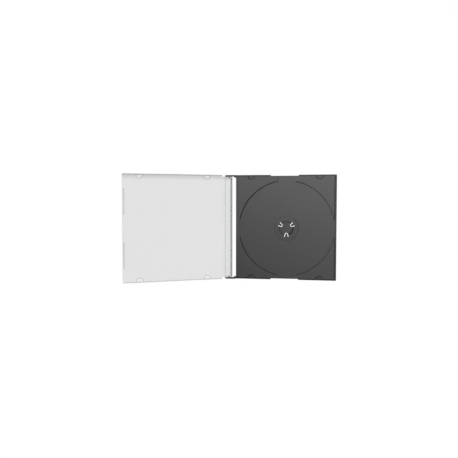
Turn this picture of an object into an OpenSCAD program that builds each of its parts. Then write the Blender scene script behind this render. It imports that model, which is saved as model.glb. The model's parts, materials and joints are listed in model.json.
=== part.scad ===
// Slim jewel case for one 120 mm disc, standing open like a book.
// Two mouldings: an opaque tray with the disc well, hub and hinge arms, and a clear lid.
// Both are drawn as they lie closed: x runs from the tray's hinge-side edge to the opening
// edge, y along the hinge from the middle of the case, z from the back of the tray.
// Placed, the case stands on its lower edges with the hinge upright along Z.

/* [Case] */
// Height of the case along its hinge
case_h = 134; // [129:0.5:150]
// Width of the tray from its hinge-side edge to its opening edge
tray_w = 128; // [127:0.5:150]
// Thickness of the closed case
case_t = 5.2; // [5:0.1:7]
// Wall of both mouldings
wall = 1.2; // [1:0.1:1.3]
// Radius of the outer corners
corner_r = 1; // [0.4:0.1:1]
// Angle between tray and lid as the case stands open
open_angle = 151; // [120:1:175]

/* [Disc well] */
// Diameter of the disc that the case holds
disc_d = 120; // [118:0.5:120.5]
// Thickness of that disc
disc_t = 1.2; // [1.1:0.1:1.5]
// Clearance round the disc at the floor of the well
disc_gap = 0.2; // [0.1:0.1:0.4]
// How much the wall of the well leans outwards
well_lean = 1; // [0.4:0.1:1.4]
// Distance of the well from the middle of the tray, away from the hinge
well_shift = 1.1; // [0:0.1:1.4]
// Distance of the well under the middle of the tray, as the case stands
well_drop = 1.1; // [0:0.1:1.4]
// Height of the raised land round the well, over the back
land_h = 3; // [2.6:0.1:3.4]
// Half the width of the four finger gaps in the well wall, at the top of the land
scoop_half = 12.6; // [8:0.2:16]
// Radius in the corners of those gaps
scoop_r = 0.8; // [0.4:0.1:1]

/* [Rim] */
// Gap between the land and the side walls of the lid
land_gap = 0.7; // [0.3:0.1:0.9]
// Width of the low rim along the opening edge
end_rim = 2.9; // [2.4:0.1:3.4]
// Width of the low rim along the hinge-side edge
hinge_rim = 2.8; // [2:0.1:3.2]
// Length of the finger notches in the upper and lower edges
notch_w = 35.5; // [20:0.5:50]
// Distance of the notches from the middle of the tray, towards the hinge
notch_shift = 1.3; // [0:0.1:3]
// Distance of the half-moon tabs from the hinge-side edge
tab_inset = 20.2; // [14:0.1:26]
// Distance of the outer half-moon tabs from the opening edge
tab_end_inset = 21.2; // [14:0.1:26]

/* [Hub] */
// Diameter of the hole in the disc
hole_d = 15; // [15:0.1:15.2]
// Radial clearance between the hub and the hole
hole_gap = 0.15; // [0.1:0.05:0.3]
// Radius of the raised ring that the disc lies on
seat_r = 15.5; // [13:0.1:17]
// Height of that ring over the floor of the well
seat_h = 0.4; // [0.2:0.1:0.6]
// Width of the groove between hub and ring
moat_w = 2.3; // [1.6:0.1:3]
// Height of the hub over the land
hub_rise = 0.5; // [0.3:0.1:0.7]
// Number of spring tongues
tongue_n = 3; // [2:1:3]
// Angle of the first tongue, from the side of the opening edge
first_tongue = 30; // [0:5:60]
// Width of the slot round each tongue
slot_w = 0.9; // [0.8:0.1:1.1]
// Radius at which the legs of the slots end
slot_end_r = 10.4; // [9:0.1:11]
// Radius at the middle of the bend of the slots
slot_bend_r = 6.2; // [5.4:0.1:6.3]
// Half the width of a tongue at its tip
tongue_half = 1.2; // [0.8:0.1:1.4]
// How far a slot leg leans outwards on its way to its end
leg_lean = 0.7; // [0.3:0.1:1.2]
// How far the tooth of a tongue reaches over the disc
tooth = 0.3; // [0.2:0.05:0.4]
// Rise of the sloping underside of a tooth
tooth_slope = 0.15; // [0.1:0.05:0.25]

/* [Hinge] */
// Distance of the hinge axis from the hinge-side edge of the tray
pivot_x = 9; // [8.5:0.1:10]
// Distance from the hinge axis to the outside of the spine
spine_x = 3.9; // [3.4:0.1:4.2]
// Distance from the hinge axis to the tips of the arms
arm_reach = 4.7; // [4.3:0.1:5]
// Distance from the hinge-side edge of the tray to the end of the arms' full height
arm_stop = 0.8; // [0.6:0.1:1]
// Thickness of the arms
arm_t = 1.8; // [1.5:0.1:2]
// Radius of the rounded arm tips
arm_tip_r = 2; // [1:0.1:2.4]
// Diameter of the hinge pins
pin_d = 2.6; // [2:0.1:2.7]
// Radial clearance of the hinge pins
pin_gap = 0.05; // [0.03:0.01:0.08]
// Length of the hinge pins
pin_l = 1.3; // [1:0.1:1.5]
// Thickness of the ears that the pins turn in
ear_t = 1.6; // [1.5:0.1:2]
// How far the round of an ear reaches past half the thickness of the case
ear_over = 0.5; // [0.3:0.1:0.7]
// Gap between an arm and its ear
ear_gap = 0.1; // [0.1:0.05:0.2]
// Gap between the root of an arm and the swing of the strip behind the spine
root_gap = 0.2; // [0.1:0.1:0.4]

/* [Lid] */
// Gap under the side walls of the closed lid
lid_gap = 0.1; // [0.1:0.05:0.3]
// Gap between the ends of the side walls and the arms, along the case
arm_gap = 1; // [0.8:0.1:1.5]
// Width of the strip that folds round the back of the spine
strip_w = 9.8; // [8:0.1:9.9]
// Width of the half-moon tabs
tab_w = 8.4; // [6:0.1:9]
// Thickness of the tabs
tab_t = 0.8; // [0.6:0.1:1]
// Room between a tab and the panel for a paper sheet
paper_gap = 0.8; // [0.5:0.1:1]
// Clearance of a tab in its half-moon pocket
tab_gap = 0.5; // [0.3:0.1:0.8]
// Distance from the middle of the opening edge to the near end of each rib
rib_start = 16.8; // [8:0.2:24]
// Length of the two ribs along the opening edge
rib_l = 32.6; // [20:0.2:38]
// Thickness of the ribs
rib_t = 1.6; // [1:0.1:2]
// Height of the ribs
rib_h = 2.2; // [1.4:0.1:2.4]

/* [Hidden] */
$fn = 96;
cut = 1; // how far a cut runs past the face that it opens
arc_step = 9; // degrees between the points of a round corner in a section
half_h = case_h / 2;
mid_t = case_t / 2;
panel_z = case_t - wall; // inner face of the closed lid
side_y = half_h - wall; // inner face of the lid's side walls
side_z = wall + lid_gap; // free edge of those walls
land_y = side_y - land_gap; // edge of the land along the lid's side walls
land_end = tray_w - end_rim; // edge of the land along the opening edge
well_x = tray_w / 2 + well_shift;
well_y = -well_drop;
well_r = disc_d / 2 + disc_gap; // at the floor
well_top_r = well_r + well_lean;
run_out = 0.05; // depth of a gap's floor under the face of the plate, so that it runs out in it
scoop_floor = wall - run_out;
corner_z = scoop_floor + scoop_r; // middle of the round corner of a gap
corner_x = scoop_half - sqrt(2) * scoop_r - (land_h - corner_z);
tab_x = [tab_inset, tray_w - tab_end_inset];
tab_r = tab_w / 2;
pocket_r = tab_r + tab_gap;
hub_r = hole_d / 2 - hole_gap;
moat_r = hub_r + moat_w;
hub_top = land_h + hub_rise; // stays clear of the closed lid's panel
disc_top = wall + seat_h + disc_t;
tooth_top = hub_top - tooth_slope;
tooth_half = tongue_half - tooth; // the teeth are narrower than their tongues
arm_y = half_h - arm_t; // inner face of the arms
ear_y = arm_y - ear_gap; // outer face of the ears
arm_end = -arm_stop;
wall_start = arm_end + arm_gap; // where the lid's side walls start
spine_out = -pivot_x - spine_x;
strip_end = spine_out + strip_w;
ear_r = mid_t + ear_over;
strip_sweep = norm([strip_end + pivot_x, mid_t]); // swing of the strip's edge round the axis
root_x = strip_sweep - pivot_x + root_gap; // the arm's root starts clear of that swing
lid_reach = tray_w + pivot_x; // from the axis to the opening edge

// Outline of the case seen from the front, with round outer corners
module outline(x0, x1) {
    translate([x0 + corner_r, -half_h]) square([x1 - x0 - 2 * corner_r, case_h]);
    translate([x0, corner_r - half_h]) square([x1 - x0, case_h - 2 * corner_r]);
    for (x = [x0 + corner_r, x1 - corner_r], side = [-1, 1])
        translate([x, side * (half_h - corner_r)]) circle(r = corner_r);
}

// The same shape at the upper and the lower edge
module both_edges() {
    children();
    mirror([0, 1, 0]) children();
}

// Puts a shape at the middle of the disc well
module at_well() {
    translate([well_x, well_y, 0]) children();
}

// The well above its floor; grow moves its wall outwards for the back of the moulding
module well_cone(grow) {
    at_well() translate([0, 0, wall])
        cylinder(h = land_h - wall + cut, r1 = well_r + grow,
                 r2 = well_top_r + grow + well_lean * cut / (land_h - wall));
}

// Four gaps with sloping ends where a finger reaches the edge of the disc
module scoops(grow) {
    for (turn = [0 : 90 : 270])
        at_well() rotate([0, 0, turn]) translate([well_r / 2, 0, 0]) rotate([90, 0, 90])
            linear_extrude(max(case_h, tray_w) / 2) scoop_profile(grow);
}

// Section of a gap: flat floor, round corners and ends at 45 degrees
module scoop_profile(grow) {
    r = scoop_r + grow;
    top = land_h + 2 * cut;
    slope_end = corner_x + sqrt(2) * r + top - corner_z;
    right = [for (a = [-90 : arc_step : -45]) [corner_x + r * cos(a), corner_z + r * sin(a)]];
    left = [for (i = [len(right) - 1 : -1 : 0]) [-right[i][0], right[i][1]]];
    polygon(concat(right, [[slope_end, top], [-slope_end, top]], left));
}

// Half-moon pockets that make room for the tabs of the lid
module pockets(grow, z0) {
    both_edges()
        for (x = tab_x)
            translate([x, side_y, z0]) cylinder(h = case_t, r = pocket_r + grow);
}

// The land between well and rim
module land_block(grow, z0, z1) {
    translate([hinge_rim + grow, -land_y + grow, z0])
        cube([land_end - hinge_rim - 2 * grow, 2 * (land_y - grow), z1 - z0]);
}

module land() {
    difference() {
        land_block(0, 0, land_h);
        well_cone(0);
        scoops(0);
        pockets(0, wall);
    }
}

// The moulding has one wall thickness, so its land is hollow behind
module land_hollow() {
    difference() {
        land_block(wall, -cut, land_h - wall);
        well_cone(wall);
        at_well() translate([0, 0, -2 * cut]) cylinder(h = 2 * cut + land_h - wall, r = well_r + wall);
        scoops(wall);
        pockets(wall, -cut);
    }
}

module plate() {
    difference() {
        linear_extrude(wall) outline(0, tray_w);
        both_edges()
            translate([tray_w / 2 - notch_shift - notch_w / 2, side_y, -cut])
                cube([notch_w, wall + cut, wall + 2 * cut]);
    }
}

// Side view of an arm: full height up to its end, round at the tip
module arm_profile() {
    tip = -pivot_x - arm_reach;
    translate([tip + arm_tip_r, 0]) square([arm_end - tip - arm_tip_r, case_t]);
    translate([tip, arm_tip_r]) square([arm_tip_r, case_t - 2 * arm_tip_r]);
    for (z = [arm_tip_r, case_t - arm_tip_r])
        translate([tip + arm_tip_r, z]) circle(r = arm_tip_r);
}

// Hinge arm with its root on the tray and its pin
module arm() {
    translate([0, half_h, 0]) rotate([90, 0, 0]) linear_extrude(arm_t) arm_profile();
    translate([arm_end - cut, arm_y, 0]) cube([corner_r + cut - arm_end, arm_t, wall]);
    translate([root_x, land_y - wall, 0])
        cube([hinge_rim + wall - root_x, side_y - lid_gap - land_y + wall, land_h]);
    translate([-pivot_x, arm_y + cut / 2, mid_t]) rotate([90, 0, 0])
        cylinder(h = pin_l + cut / 2, d = pin_d);
}

// Straight slot with a round far end
module slot_leg(from, to) {
    run = to - from;
    translate(from) rotate(atan2(run[1], run[0])) {
        translate([0, -slot_w / 2]) square([norm(run), slot_w]);
        translate([norm(run), 0]) circle(d = slot_w);
    }
}

// Slot in the shape of a U, its bend towards the middle of the hub
module tongue_slot() {
    bend_r = tongue_half + slot_w / 2;
    bend_x = slot_bend_r + bend_r;
    difference() {
        translate([bend_x, 0]) circle(r = bend_r + slot_w / 2);
        translate([bend_x, 0]) circle(r = tongue_half);
        translate([bend_x, -2 * bend_r]) square(4 * bend_r);
    }
    for (side = [-1, 1])
        slot_leg([bend_x, side * bend_r], [slot_end_r, side * (bend_r + leg_lean)]);
}

// Ring section that makes the snap teeth, wide at the bottom and drawn in at the top
module tooth_ring() {
    rotate_extrude()
        polygon([[hub_r - tooth / 2, disc_top], [hole_d / 2 + tooth, disc_top + tooth_slope],
                 [hub_r, tooth_top], [hub_r - tooth / 2, tooth_top]]);
}

module hub() {
    difference() {
        union() {
            cylinder(h = wall + seat_h, r = seat_r);
            translate([0, 0, wall]) cylinder(h = hub_top - wall, r = hub_r);
        }
        translate([0, 0, wall]) difference() {
            cylinder(h = case_t, r = moat_r);
            translate([0, 0, -cut]) cylinder(h = case_t + 2 * cut, r = hub_r);
        }
        translate([0, 0, -cut]) cylinder(h = hub_top - wall + cut, r = hub_r - wall);
    }
    for (i = [0 : tongue_n - 1])
        rotate([0, 0, first_tongue + i * 360 / tongue_n])
            intersection() {
                tooth_ring();
                translate([0, -tooth_half, 0]) cube([seat_r, 2 * tooth_half, case_t]);
            }
}

module tongue_slots() {
    for (i = [0 : tongue_n - 1])
        rotate([0, 0, first_tongue + i * 360 / tongue_n])
            translate([0, 0, -cut]) linear_extrude(case_t + cut) tongue_slot();
}

// One opaque moulding: plate, land, disc well, hub and hinge arms
module base_tray_flat() {
    difference() {
        union() {
            plate();
            land();
            both_edges() arm();
            at_well() hub();
        }
        land_hollow();
        at_well() tongue_slots();
    }
}

module lid_panel() {
    difference() {
        translate([0, 0, panel_z]) linear_extrude(wall) outline(spine_out, tray_w);
        both_edges()
            translate([spine_out - cut, ear_y, 0])
                cube([wall_start - spine_out + cut, arm_t + ear_gap + cut, case_t + cut]);
    }
}

module side_wall() {
    intersection() {
        translate([0, 0, side_z]) linear_extrude(panel_z - side_z + wall) outline(spine_out, tray_w);
        translate([wall_start, side_y, 0]) cube([tray_w, wall, case_t]);
    }
}

// Half-moon tabs that hold a paper sheet against the panel
module tabs() {
    tab_z = panel_z - paper_gap - tab_t;
    for (x = tab_x)
        intersection() {
            translate([x, side_y, tab_z]) cylinder(h = tab_t, r = tab_r);
            translate([x - tab_r, side_y - tab_r, 0]) cube([tab_w, tab_r + wall / 2, case_t]);
        }
}

// Low rib that lands on the rim of the tray at the opening edge
module end_rib() {
    rib_x = land_end + lid_gap;
    translate([rib_x, rib_start, panel_z - rib_h]) cube([rib_t, rib_l, rib_h + wall / 2]);
}

// Ear that the pin turns in, between spine, strip and panel
module ear() {
    translate([0, ear_y, 0]) rotate([90, 0, 0]) linear_extrude(ear_t)
        intersection() {
            union() {
                translate([-pivot_x, mid_t]) circle(r = ear_r);
                translate([spine_out, 0]) square([spine_x, case_t]);
            }
            translate([spine_out, 0]) square([spine_x + ear_r, case_t]);
        }
}

module pin_hole() {
    translate([-pivot_x, half_h, mid_t]) rotate([90, 0, 0])
        cylinder(h = arm_t + ear_gap + ear_t + cut, r = pin_d / 2 + pin_gap);
}

module spine() {
    translate([spine_out, -ear_y, 0]) cube([wall, 2 * ear_y, case_t]);
    translate([spine_out, -ear_y, 0]) cube([strip_w, 2 * ear_y, wall]);
}

// One clear moulding: panel, side walls, spine with its strip and ears, tabs and ribs
module lid_flat() {
    difference() {
        union() {
            lid_panel();
            spine();
            both_edges() {
                side_wall();
                tabs();
                end_rib();
                ear();
            }
        }
        both_edges() pin_hole();
    }
}

// Middle of the open case, seen from above, which is the origin
lid_left = -pivot_x + lid_reach * cos(open_angle) - mid_t * sin(open_angle);
lid_front = -mid_t - lid_reach * sin(open_angle) - (side_z - mid_t) * cos(open_angle);
lid_back = -mid_t + spine_x * sin(open_angle) - mid_t * cos(open_angle);
mid_x = (lid_left + tray_w) / 2;
mid_y = (lid_front + max(lid_back, 0)) / 2;

// Stands a piece on its lower edge with its back away from the viewer
module stand() {
    translate([-mid_x, -mid_y, half_h]) rotate([90, 0, 0]) children();
}

module base_tray() {
    color("#2e2e30") stand() base_tray_flat();
}

module lid() {
    color("#dfe3e6") stand()
        translate([-pivot_x, 0, mid_t]) rotate([0, -open_angle, 0])
            translate([pivot_x, 0, -mid_t]) lid_flat();
}

base_tray();
lid();
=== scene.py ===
import json
import math
import bmesh
import bpy
from mathutils import Matrix, Vector


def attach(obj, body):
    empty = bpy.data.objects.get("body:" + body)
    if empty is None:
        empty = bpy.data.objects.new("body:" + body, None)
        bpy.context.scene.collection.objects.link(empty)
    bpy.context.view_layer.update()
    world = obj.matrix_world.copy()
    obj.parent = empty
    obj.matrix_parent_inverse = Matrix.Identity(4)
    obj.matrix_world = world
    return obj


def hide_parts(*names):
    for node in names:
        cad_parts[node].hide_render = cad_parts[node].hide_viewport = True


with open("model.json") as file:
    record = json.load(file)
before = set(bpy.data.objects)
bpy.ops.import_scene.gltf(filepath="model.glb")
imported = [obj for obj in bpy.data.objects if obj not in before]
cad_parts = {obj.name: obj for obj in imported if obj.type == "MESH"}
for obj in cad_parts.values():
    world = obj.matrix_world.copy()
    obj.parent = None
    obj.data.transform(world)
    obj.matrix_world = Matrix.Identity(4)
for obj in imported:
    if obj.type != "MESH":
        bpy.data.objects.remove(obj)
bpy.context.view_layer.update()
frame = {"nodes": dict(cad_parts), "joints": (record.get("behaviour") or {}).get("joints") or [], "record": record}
mm = 0.001

# A slim disc case of two mouldings, standing open like a book. Lengths in the dictionaries are in mm
# where no other unit is given, and a shade scales a finish's colour: the shades are painted light and shade, apart
# from the grey tint of the lid's panel

hinge = frame["joints"][0]
hingeMiddle = Vector(hinge["pos_m"])
hingeFoot = Vector((hingeMiddle.x, hingeMiddle.y, 0.0))

# The lid's half-moon tabs fall into the tray's half-moon pockets when the case is shut
tabPlaces = dict(
    fromHinge=72.5,                   # middle of each row of two
    apart=43.3,                       # from that middle to each of the two
    reach=65.8,                       # up and down from the middle of the hinge
)


# Camera

cameraView = dict(
    fromHinge=(123.4, -714.0, 99.95),  # from the foot of the hinge axis
    azimuth=9.797,                     # degrees, turned left towards the hinge
    elevation=2.806,                   # degrees, looking down
    roll=0.035,                        # degrees
    lens=44.0,
    sensor=36.0,
)


def makeCamera():
    data = bpy.data.cameras.new("camera")
    data.lens = cameraView["lens"]
    data.sensor_width = cameraView["sensor"]
    camera = bpy.data.objects.new("camera", data)
    bpy.context.scene.collection.objects.link(camera)
    camera.location = hingeFoot + Vector(cameraView["fromHinge"]) * mm
    turn = Matrix.Rotation(math.radians(cameraView["azimuth"]), 4, "Z")
    tilt = Matrix.Rotation(math.radians(90.0 - cameraView["elevation"]), 4, "X")
    roll = Matrix.Rotation(math.radians(cameraView["roll"]), 4, "Z")
    camera.rotation_euler = (turn @ tilt @ roll).to_euler()
    bpy.context.scene.camera = camera
    print("camera ready")


# Shading nodes

def newMaterial(name):
    material = bpy.data.materials.new(name)
    material.use_nodes = True
    tree = material.node_tree
    return material, tree, tree.nodes["Principled BSDF"]


def groupSockets(tree, way, *names):
    for name in names:
        tree.interface.new_socket(name=name, in_out=way, socket_type="NodeSocketFloat")


def groupNode(tree, group, values):
    node = tree.nodes.new("ShaderNodeGroup")
    node.node_tree = group
    for name, value in values.items():
        node.inputs[name].default_value = value
    return node


def mathNode(tree, operation, *values):
    node = tree.nodes.new("ShaderNodeMath")
    node.operation = operation
    for socket, value in zip(node.inputs, values):
        if isinstance(value, bpy.types.NodeSocket):
            tree.links.new(value, socket)
        else:
            socket.default_value = value
    return node.outputs["Value"]


def rangeNode(tree, value, source, target):
    # Eases between the two target numbers while the value goes between the two source numbers
    node = tree.nodes.new("ShaderNodeMapRange")
    node.interpolation_type = "SMOOTHSTEP"
    tree.links.new(value, node.inputs["Value"])
    for name, number in zip(("From Min", "From Max", "To Min", "To Max"), (*source, *target)):
        node.inputs[name].default_value = number
    return node.outputs["Result"]


# Each face's painted shade, stored on the mesh by softEdged
def paintedFaceShade(tree):
    node = tree.nodes.new("ShaderNodeAttribute")
    node.attribute_name = "shade"
    return node.outputs["Fac"]


def shadedColour(tree, shader, colour, shade):
    scale = tree.nodes.new("ShaderNodeVectorMath")
    scale.operation = "SCALE"
    scale.inputs[0].default_value = colour
    tree.links.new(shade, scale.inputs["Scale"])
    tree.links.new(scale.outputs["Vector"], shader.inputs["Base Color"])


skinNoise = dict(
    grainDetail=3.0,
    waveDetail=2.0,
    waveHeight=3.0,                   # height of the waves against that of the grain
    smoothLevel=0.35,                 # levels of the waves with the low and the high roughness
    roughLevel=0.65,
)


def makeMouldSkin():
    # Moulded surface: slow flow waves under a fine grain, as height and as a change of roughness.
    # The scales are per metre
    tree = bpy.data.node_groups.new("mouldSkin", "ShaderNodeTree")
    groupSockets(tree, "INPUT", "Grain Scale", "Wave Scale", "Low Roughness", "High Roughness")
    groupSockets(tree, "OUTPUT", "Height", "Roughness")
    inputs = tree.nodes.new("NodeGroupInput").outputs
    outputs = tree.nodes.new("NodeGroupOutput").inputs
    place = tree.nodes.new("ShaderNodeTexCoord").outputs["Object"]
    grain = tree.nodes.new("ShaderNodeTexNoise")
    grain.inputs["Detail"].default_value = skinNoise["grainDetail"]
    wave = tree.nodes.new("ShaderNodeTexNoise")
    wave.inputs["Detail"].default_value = skinNoise["waveDetail"]
    for noise, scale in ((grain, "Grain Scale"), (wave, "Wave Scale")):
        tree.links.new(place, noise.inputs["Vector"])
        tree.links.new(inputs[scale], noise.inputs["Scale"])
    height = mathNode(tree, "MULTIPLY_ADD",
                      wave.outputs["Fac"], skinNoise["waveHeight"], grain.outputs["Fac"])
    tree.links.new(height, outputs["Height"])
    spread = tree.nodes.new("ShaderNodeMapRange")
    spread.inputs["From Min"].default_value = skinNoise["smoothLevel"]
    spread.inputs["From Max"].default_value = skinNoise["roughLevel"]
    tree.links.new(wave.outputs["Fac"], spread.inputs["Value"])
    tree.links.new(inputs["Low Roughness"], spread.inputs["To Min"])
    tree.links.new(inputs["High Roughness"], spread.inputs["To Max"])
    tree.links.new(spread.outputs["Result"], outputs["Roughness"])
    return tree


def addSkin(tree, shader, mouldSkin, finish):
    skin = groupNode(tree, mouldSkin, finish["skin"])
    bump = tree.nodes.new("ShaderNodeBump")
    bump.inputs["Strength"].default_value = finish["bumpStrength"]
    bump.inputs["Distance"].default_value = finish["bumpDepth"] * mm
    tree.links.new(skin.outputs["Height"], bump.inputs["Height"])
    tree.links.new(bump.outputs["Normal"], shader.inputs["Normal"])
    tree.links.new(skin.outputs["Roughness"], shader.inputs["Roughness"])


def makeTabDistance():
    # Distance from the nearest of four places that lie evenly about a middle
    tree = bpy.data.node_groups.new("tabDistance", "ShaderNodeTree")
    groupSockets(tree, "INPUT", "Along", "Height", "Middle", "Apart", "Level", "Reach")
    groupSockets(tree, "OUTPUT", "Distance")
    inputs = tree.nodes.new("NodeGroupInput").outputs
    outputs = tree.nodes.new("NodeGroupOutput").inputs
    squares = []
    for value, middle, reach in (("Along", "Middle", "Apart"), ("Height", "Level", "Reach")):
        offset = mathNode(tree, "SUBTRACT", inputs[value], inputs[middle])
        offset = mathNode(tree, "ABSOLUTE", offset)
        offset = mathNode(tree, "SUBTRACT", offset, inputs[reach])
        squares.append(mathNode(tree, "MULTIPLY", offset, offset))
    total = mathNode(tree, "ADD", *squares)
    tree.links.new(mathNode(tree, "SQRT", total), outputs["Distance"])
    return tree


def awayFrom(tree, tabDistance, along, height, values):
    node = groupNode(tree, tabDistance, values)
    tree.links.new(along, node.inputs["Along"])
    tree.links.new(height, node.inputs["Height"])
    return node.outputs["Distance"]


def tabValues(hingeAlong):
    return {"Middle": hingeAlong + tabPlaces["fromHinge"] * mm, "Apart": tabPlaces["apart"] * mm,
            "Level": hingeMiddle.z, "Reach": tabPlaces["reach"] * mm}


def ringShade(tree, away, ring):
    # Painted shade: a soft dark line round a place, as shade gathers in the corner at the foot of a step
    offset = mathNode(tree, "ABSOLUTE", mathNode(tree, "SUBTRACT", away, ring["radius"] * mm))
    return rangeNode(tree, offset, (0.0, ring["width"] * mm), (ring["shade"], 1.0))


# Moulded shapes

softening = dict(
    weld=0.002,
    flatAngle=0.5,                    # degrees, facets closer than this are joined to one face
    sharpAngle=40.0,                  # degrees between two faces that makes an edge sharp
    roundFrom=60.0,                   # degrees, outer corners between these two angles are rounded
    roundTo=105.0,
    crowd=4,                          # more sharp edges than this keep their meeting point as it is
    crowdedEdge=0.2,                  # and so does a sharp edge shorter than this, where three or four meet
    steps=3,
    keepAngle=50.0,                   # degrees, edges that stay sharp in the shading
    cutTolerance=0.001,
)


def edgesToSoften(work):
    # Outer corners of the moulding, apart from those that end in a knife edge or a crowded junction
    angle = {edge: math.degrees(edge.calc_face_angle(0.0)) for edge in work.edges}
    skipped = {vert for edge in work.edges if angle[edge] > softening["roundTo"] for vert in edge.verts}
    for vert in work.verts:
        sharp = [edge.calc_length() for edge in vert.link_edges if angle[edge] > softening["sharpAngle"]]
        crowded = len(sharp) > 2 and min(sharp) < softening["crowdedEdge"] * mm
        if crowded or len(sharp) > softening["crowd"]:
            skipped.add(vert)
    return [edge for edge in work.edges
            if edge.is_convex and softening["roundFrom"] < angle[edge] < softening["roundTo"]
            and skipped.isdisjoint(edge.verts)]


def cutAlong(work, point, normal):
    everything = list(work.verts) + list(work.edges) + list(work.faces)
    bmesh.ops.bisect_plane(work, geom=everything, dist=softening["cutTolerance"] * mm,
                           plane_co=point, plane_no=normal)


def softEdged(name, nodeName, radius, material, shadeOf, cuts):
    # A merged copy of the CAD piece, its outer corners rounded as a mould leaves them. The cuts only
    # part flat faces, so that each side of a cut can have its own painted shade
    piece = frame["nodes"][nodeName].copy()
    piece.data = frame["nodes"][nodeName].data.copy()
    piece.name = name
    bpy.context.scene.collection.objects.link(piece)
    work = bmesh.new()
    work.from_mesh(piece.data)
    bmesh.ops.remove_doubles(work, verts=work.verts, dist=softening["weld"] * mm)
    bmesh.ops.dissolve_limit(work, angle_limit=math.radians(softening["flatAngle"]), verts=work.verts,
                             edges=work.edges, delimit={"NORMAL"})
    bmesh.ops.bevel(work, geom=edgesToSoften(work), offset=radius * mm, offset_type="OFFSET",
                    segments=softening["steps"], profile=0.5, affect="EDGES", clamp_overlap=False,
                    material=-1)
    for point, normal in cuts:
        cutAlong(work, point, normal)
    shade = work.faces.layers.float.new("shade")
    for face in work.faces:
        face.smooth = True
        face[shade] = shadeOf(face)
    for edge in work.edges:
        edge.smooth = edge.calc_face_angle(0.0) < math.radians(softening["keepAngle"])
    work.to_mesh(piece.data)
    work.free()
    piece.data.materials.clear()
    piece.data.materials.append(material)
    weighted = piece.modifiers.new("flatFaces", "WEIGHTED_NORMAL")
    weighted.keep_sharp = True
    return piece


# Tray

trayFinish = dict(
    colour=(0.117, 0.117, 0.118),
    ior=1.5,
    shine=0.22,                       # specular level, 0.5 being that of plain plastic
    skin={"Grain Scale": 5200.0, "Wave Scale": 45.0, "Low Roughness": 0.36, "High Roughness": 0.44},
    bumpStrength=0.5,
    bumpDepth=0.04,
    edge=0.16,                        # radius of the soft moulded edges
    steep=0.6,                        # share of a normal towards the front, below which a face is a wall
    sloping=0.8,                      # and below which it is a slope
    wallShade=0.62,                   # painted shade on steps and side walls, which look darker than the flat faces
    slopeShade=1.18,                  # painted light on the sloping ends of the finger gaps, so that no line shows there
    longRimShade=0.6,                 # painted shade on the sunk rims at the top and the bottom
    endRimShade=0.75,                 # painted shade on the sunk rim at the opening edge
    land=dict(fromHinge=134.098, reach=65.1),  # edges of the raised part, inside the rims
    hubTop=dict(reach=8.0, shade=0.92),  # painted shade on the flat top of the hub, this far from its middle
    hubRings=[dict(radius=15.5, width=1.1, shade=0.78),  # painted shade along the edge of the disc's seat
              dict(radius=8.6, width=1.4, shade=0.52)],  # painted shade in the groove round the hub
    pocketShadowRing=dict(radius=4.3, width=1.2, shade=0.42),  # painted shadow on the floor of each half-moon pocket, at the foot of its wall
)


def hubPlace():
    hub = next(mount for mount in frame["record"]["mounts"] if mount["name"] == "disc_hub")
    return Vector(hub["pos_m"])


def trayPlastic(mouldSkin, tabDistance):
    material, tree, shader = newMaterial("trayPlastic")
    place = tree.nodes.new("ShaderNodeSeparateXYZ")
    tree.links.new(tree.nodes.new("ShaderNodeTexCoord").outputs["Object"], place.inputs["Vector"])
    along, height = place.outputs["X"], place.outputs["Z"]
    # Painted shade: a dark ring in each half-moon pocket and two round the hub, times each face's painted shade
    fromPockets = awayFrom(tree, tabDistance, along, height, tabValues(hingeFoot.x))
    pocketShadow = ringShade(tree, fromPockets, trayFinish["pocketShadowRing"])
    shade = mathNode(tree, "MULTIPLY", paintedFaceShade(tree), pocketShadow)
    fromHub = awayFrom(tree, tabDistance, along, height,
                       {"Middle": hubPlace().x, "Apart": 0.0, "Level": hubPlace().z, "Reach": 0.0})
    for ring in trayFinish["hubRings"]:
        shade = mathNode(tree, "MULTIPLY", shade, ringShade(tree, fromHub, ring))
    shadedColour(tree, shader, trayFinish["colour"], shade)
    shader.inputs["IOR"].default_value = trayFinish["ior"]
    shader.inputs["Specular IOR Level"].default_value = trayFinish["shine"]
    addSkin(tree, shader, mouldSkin, trayFinish)
    return material


def trayShade(face):
    # Gives each face its painted shade: darker walls, rims and hub top, lighter slopes. The tray faces the
    # viewer, so the front is the side of negative Y
    toFront = -face.normal.y
    middle = (face.calc_center_median() - hingeMiddle) / mm
    hub = (face.calc_center_median() - hubPlace()) / mm
    if abs(toFront) < trayFinish["steep"]:
        return trayFinish["wallShade"]
    if toFront < 0.0:
        return 1.0
    if math.hypot(hub.x, hub.z) < trayFinish["hubTop"]["reach"]:
        return trayFinish["hubTop"]["shade"]
    if toFront < trayFinish["sloping"]:
        return trayFinish["slopeShade"]
    if abs(middle.z) > trayFinish["land"]["reach"]:
        return trayFinish["longRimShade"]
    return trayFinish["endRimShade"] if middle.x > trayFinish["land"]["fromHinge"] else 1.0


def makeTray(mouldSkin, tabDistance):
    land = trayFinish["land"]
    right, up = Vector((1.0, 0.0, 0.0)), Vector((0.0, 0.0, 1.0))
    cuts = [(hingeMiddle + right * land["fromHinge"] * mm, right),
            (hingeMiddle + up * land["reach"] * mm, up),
            (hingeMiddle - up * land["reach"] * mm, up)]
    tray = softEdged("trayMoulding", "base_tray", trayFinish["edge"], trayPlastic(mouldSkin, tabDistance),
                     trayShade, cuts)
    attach(tray, "tray")
    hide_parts("base_tray")
    print("tray ready")


# Lid

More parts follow.
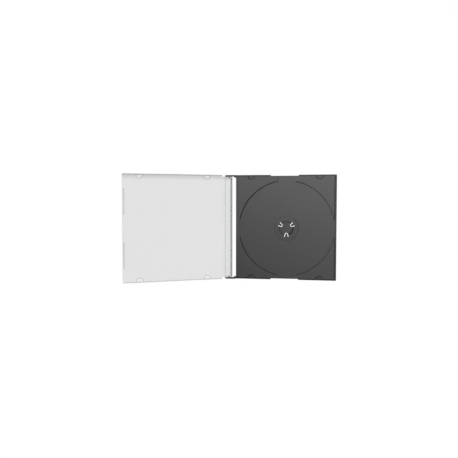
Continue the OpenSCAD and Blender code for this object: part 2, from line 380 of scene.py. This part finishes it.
lidFinish = dict(
    colour=(0.99, 0.993, 0.996),
    ior=1.59,
    clearness=0.97,                   # share of light that passes, the rest is scattered as haze
    absorption=15.0,                  # per metre
    skin={"Grain Scale": 900.0, "Wave Scale": 22.0, "Low Roughness": 0.03, "High Roughness": 0.07},
    bumpStrength=0.08,
    bumpDepth=0.01,
    edge=0.14,                        # radius of the soft moulded edges
    openAngle=hinge["range_deg"][1],  # degrees, at rest the lid stands this far from being shut
    panelShade=0.80,
    panelInside=1.4,                  # from the hinge axis to the inner face of the panel
    edgeShade=0.5,                    # painted shade on thin edges, standing in for light led away inside the plastic
    steep=0.9,                        # share of a normal towards a direction that makes a face look that way
    thinEdge=1.6,                     # narrower faces count as thin edges
    ribs=dict(start=134.0, end=136.0, shade=0.64),  # from the hinge, across the two ribs, with painted shade on them
    stripEdge=dict(start=3.0, end=7.0),  # from the hinge, where the strip ends and stays clear
    spineInside=-2.7,                 # from the hinge axis to the inner face of the spine
    # Painted shade at the spine: nearly black on its broad faces, darker on the faces across its end
    spineShade=0.05,
    spineEndShade=0.36,
    topWallShadow=dict(start=125.5, end=134.5, shade=0.73),  # painted shadow of the top wall: heights where the panel darkens to the top
    tab=dict(radius=3.9, soft=0.3, shade=0.89),  # painted light: clearer half-moons on the panel behind the tabs
    tabShadeRing=dict(radius=4.7, width=1.1, shade=0.89),  # and painted shade in a ring round them
)


def lidWidthways():
    # Direction on the lid from the hinge to the opening edge
    turn = math.radians(lidFinish["openAngle"])
    return Vector((math.cos(turn), -math.sin(turn), 0.0))


def tabShade(tree, tabDistance, place, height, shade):
    # Painted light and shade: the panel is made clearer behind the four half-moon tabs, and darker round them
    tab = lidFinish["tab"]
    along = tree.nodes.new("ShaderNodeVectorMath")
    along.operation = "DOT_PRODUCT"
    along.inputs[1].default_value = lidWidthways()
    tree.links.new(place, along.inputs[0])
    values = tabValues(hingeFoot.dot(lidWidthways()))
    away = awayFrom(tree, tabDistance, along.outputs["Value"], height, values)
    fromMiddle = mathNode(tree, "ABSOLUTE", mathNode(tree, "SUBTRACT", height, hingeMiddle.z))
    reach = tabPlaces["reach"]
    # Painted light fills each tab's half-moon on the panel, and painted shade rings it
    inside = rangeNode(tree, fromMiddle, ((reach - tab["soft"]) * mm, reach * mm), (1.0, 0.0))
    rim = ((tab["radius"] - tab["soft"]) * mm, tab["radius"] * mm)
    clear = rangeNode(tree, away, rim, (tab["shade"], 0.0))
    shade = mathNode(tree, "MULTIPLY", shade, ringShade(tree, away, lidFinish["tabShadeRing"]))
    return mathNode(tree, "MAXIMUM", shade, mathNode(tree, "MULTIPLY", clear, inside))


def clearPlastic(mouldSkin, tabDistance):
    material, tree, shader = newMaterial("clearPlastic")
    place = tree.nodes.new("ShaderNodeTexCoord").outputs["Object"]
    split = tree.nodes.new("ShaderNodeSeparateXYZ")
    tree.links.new(place, split.inputs["Vector"])
    height = split.outputs["Z"]
    # Painted shadow of the top wall, darkening the panel towards the top
    band = lidFinish["topWallShadow"]
    topShade = rangeNode(tree, height, (band["start"] * mm, band["end"] * mm), (1.0, band["shade"]))
    shade = mathNode(tree, "MULTIPLY", paintedFaceShade(tree), topShade)
    shade = tabShade(tree, tabDistance, place, height, shade)
    shadedColour(tree, shader, lidFinish["colour"], shade)
    shader.inputs["Transmission Weight"].default_value = lidFinish["clearness"]
    shader.inputs["Metallic"].default_value = 0.0
    shader.inputs["IOR"].default_value = lidFinish["ior"]
    inside = tree.nodes.new("ShaderNodeVolumeAbsorption")
    inside.inputs["Color"].default_value = (0.0, 0.0, 0.0, 1.0)
    inside.inputs["Density"].default_value = lidFinish["absorption"]
    tree.links.new(inside.outputs["Volume"], tree.nodes["Material Output"].inputs["Volume"])
    addSkin(tree, shader, mouldSkin, lidFinish)
    return material


def lidShade(face):
    # Gives each face its painted shade, or the panel's tint. Faces are told apart by their place along the
    # lid from the hinge and by depth towards its outer side
    widthways = lidWidthways()
    outward = Vector((widthways.y, -widthways.x, 0.0))
    middle = (face.calc_center_median() - hingeFoot) / mm
    along, depth = middle.dot(widthways), middle.dot(outward)
    narrow = 2.0 * face.calc_area() < lidFinish["thinEdge"] * mm * face.calc_perimeter()
    atPanel = depth > lidFinish["panelInside"] - lidFinish["edge"]
    stripEdge, ribs = lidFinish["stripEdge"], lidFinish["ribs"]
    if stripEdge["start"] < along < stripEdge["end"] and depth < 0.0:
        return 1.0
    if along < 0.0 and abs(face.normal.dot(widthways)) > lidFinish["steep"] and not narrow:
        return lidFinish["spineShade"]
    if ribs["start"] < along < ribs["end"] and not atPanel:
        return ribs["shade"]
    if abs(face.normal.dot(outward)) < lidFinish["steep"]:
        return lidFinish["edgeShade"]
    if along < lidFinish["spineInside"]:
        return lidFinish["spineEndShade"]
    if atPanel:
        return lidFinish["panelShade"]
    return lidFinish["edgeShade"] if narrow else 1.0


def makeLid(mouldSkin, tabDistance):
    spineCut = (hingeFoot + lidWidthways() * lidFinish["spineInside"] * mm, lidWidthways())
    lid = softEdged("lidMoulding", "lid", lidFinish["edge"], clearPlastic(mouldSkin, tabDistance),
                    lidShade, [spineCut])
    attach(lid, "lid")
    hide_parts("lid")
    print("lid ready")


# Studio

studio = dict(
    floorSize=6.0,                    # metres, from the middle to an edge
    floorColour=(0.55, 0.55, 0.55, 1.0),
    floorRoughness=0.9,
    floorShine=0.1,
    white=(1.0, 1.0, 1.0, 1.0),
    worldStrength=0.295,
)

# Places and sizes of the lamps are in metres, spreads in degrees and powers in watts
lamps = [
    dict(name="gridSoftbox", place=(-0.5, -1.2, 0.52), aim=(0.22, 0.03, 0.27),
         size=0.35, spread=26.0, power=0.62),
    dict(name="backSoftbox", place=(-0.3, 1.0, 0.9), aim=(0.0, 0.0, 0.07),
         size=1.0, spread=180.0, power=3.0),
]


def whiteForViewer(tree, surface, white, output):
    # Plain white where a ray from the camera, a mirror or clear plastic arrives, else the given surface
    path = tree.nodes.new("ShaderNodeLightPath")
    seen = mathNode(tree, "MAXIMUM", path.outputs["Is Camera Ray"], path.outputs["Is Glossy Ray"])
    seen = mathNode(tree, "MAXIMUM", seen, path.outputs["Is Transmission Ray"])
    mix = tree.nodes.new("ShaderNodeMixShader")
    tree.links.new(seen, mix.inputs["Fac"])
    tree.links.new(surface, mix.inputs[1])
    tree.links.new(white, mix.inputs[2])
    tree.links.new(mix.outputs["Shader"], tree.nodes[output].inputs["Surface"])


def makeWorld():
    world = bpy.data.worlds.new("studio")
    bpy.context.scene.world = world
    world.use_nodes = True
    tree = world.node_tree
    light = tree.nodes["Background"]
    light.inputs["Color"].default_value = studio["white"]
    light.inputs["Strength"].default_value = studio["worldStrength"]
    white = tree.nodes.new("ShaderNodeBackground")
    white.inputs["Color"].default_value = studio["white"]
    whiteForViewer(tree, light.outputs["Background"], white.outputs["Background"], "World Output")


def makeFloor():
    mesh = bpy.data.meshes.new("floor")
    shape = bmesh.new()
    bmesh.ops.create_grid(shape, x_segments=1, y_segments=1, size=studio["floorSize"])
    shape.to_mesh(mesh)
    shape.free()
    floor = bpy.data.objects.new("floor", mesh)
    bpy.context.scene.collection.objects.link(floor)
    material, tree, shader = newMaterial("floorPaper")
    shader.inputs["Base Color"].default_value = studio["floorColour"]
    shader.inputs["Roughness"].default_value = studio["floorRoughness"]
    shader.inputs["Specular IOR Level"].default_value = studio["floorShine"]
    white = tree.nodes.new("ShaderNodeEmission")
    white.inputs["Color"].default_value = studio["white"]
    whiteForViewer(tree, shader.outputs["BSDF"], white.outputs["Emission"], "Material Output")
    mesh.materials.append(material)


def makeLamps():
    for lamp in lamps:
        data = bpy.data.lights.new(lamp["name"], "AREA")
        data.shape = "SQUARE"
        data.size = lamp["size"]
        data.spread = math.radians(lamp["spread"])
        data.energy = lamp["power"]
        box = bpy.data.objects.new(lamp["name"], data)
        towards = Vector(lamp["aim"]) - Vector(lamp["place"])
        box.location = lamp["place"]
        box.rotation_euler = towards.to_track_quat("-Z", "Y").to_euler()
        bpy.context.scene.collection.objects.link(box)


makeCamera()
mouldSkin = makeMouldSkin()
tabDistance = makeTabDistance()
makeTray(mouldSkin, tabDistance)
makeLid(mouldSkin, tabDistance)
makeWorld()
makeFloor()
makeLamps()
bpy.context.scene.view_settings.view_transform = "Standard"
print("studio ready")
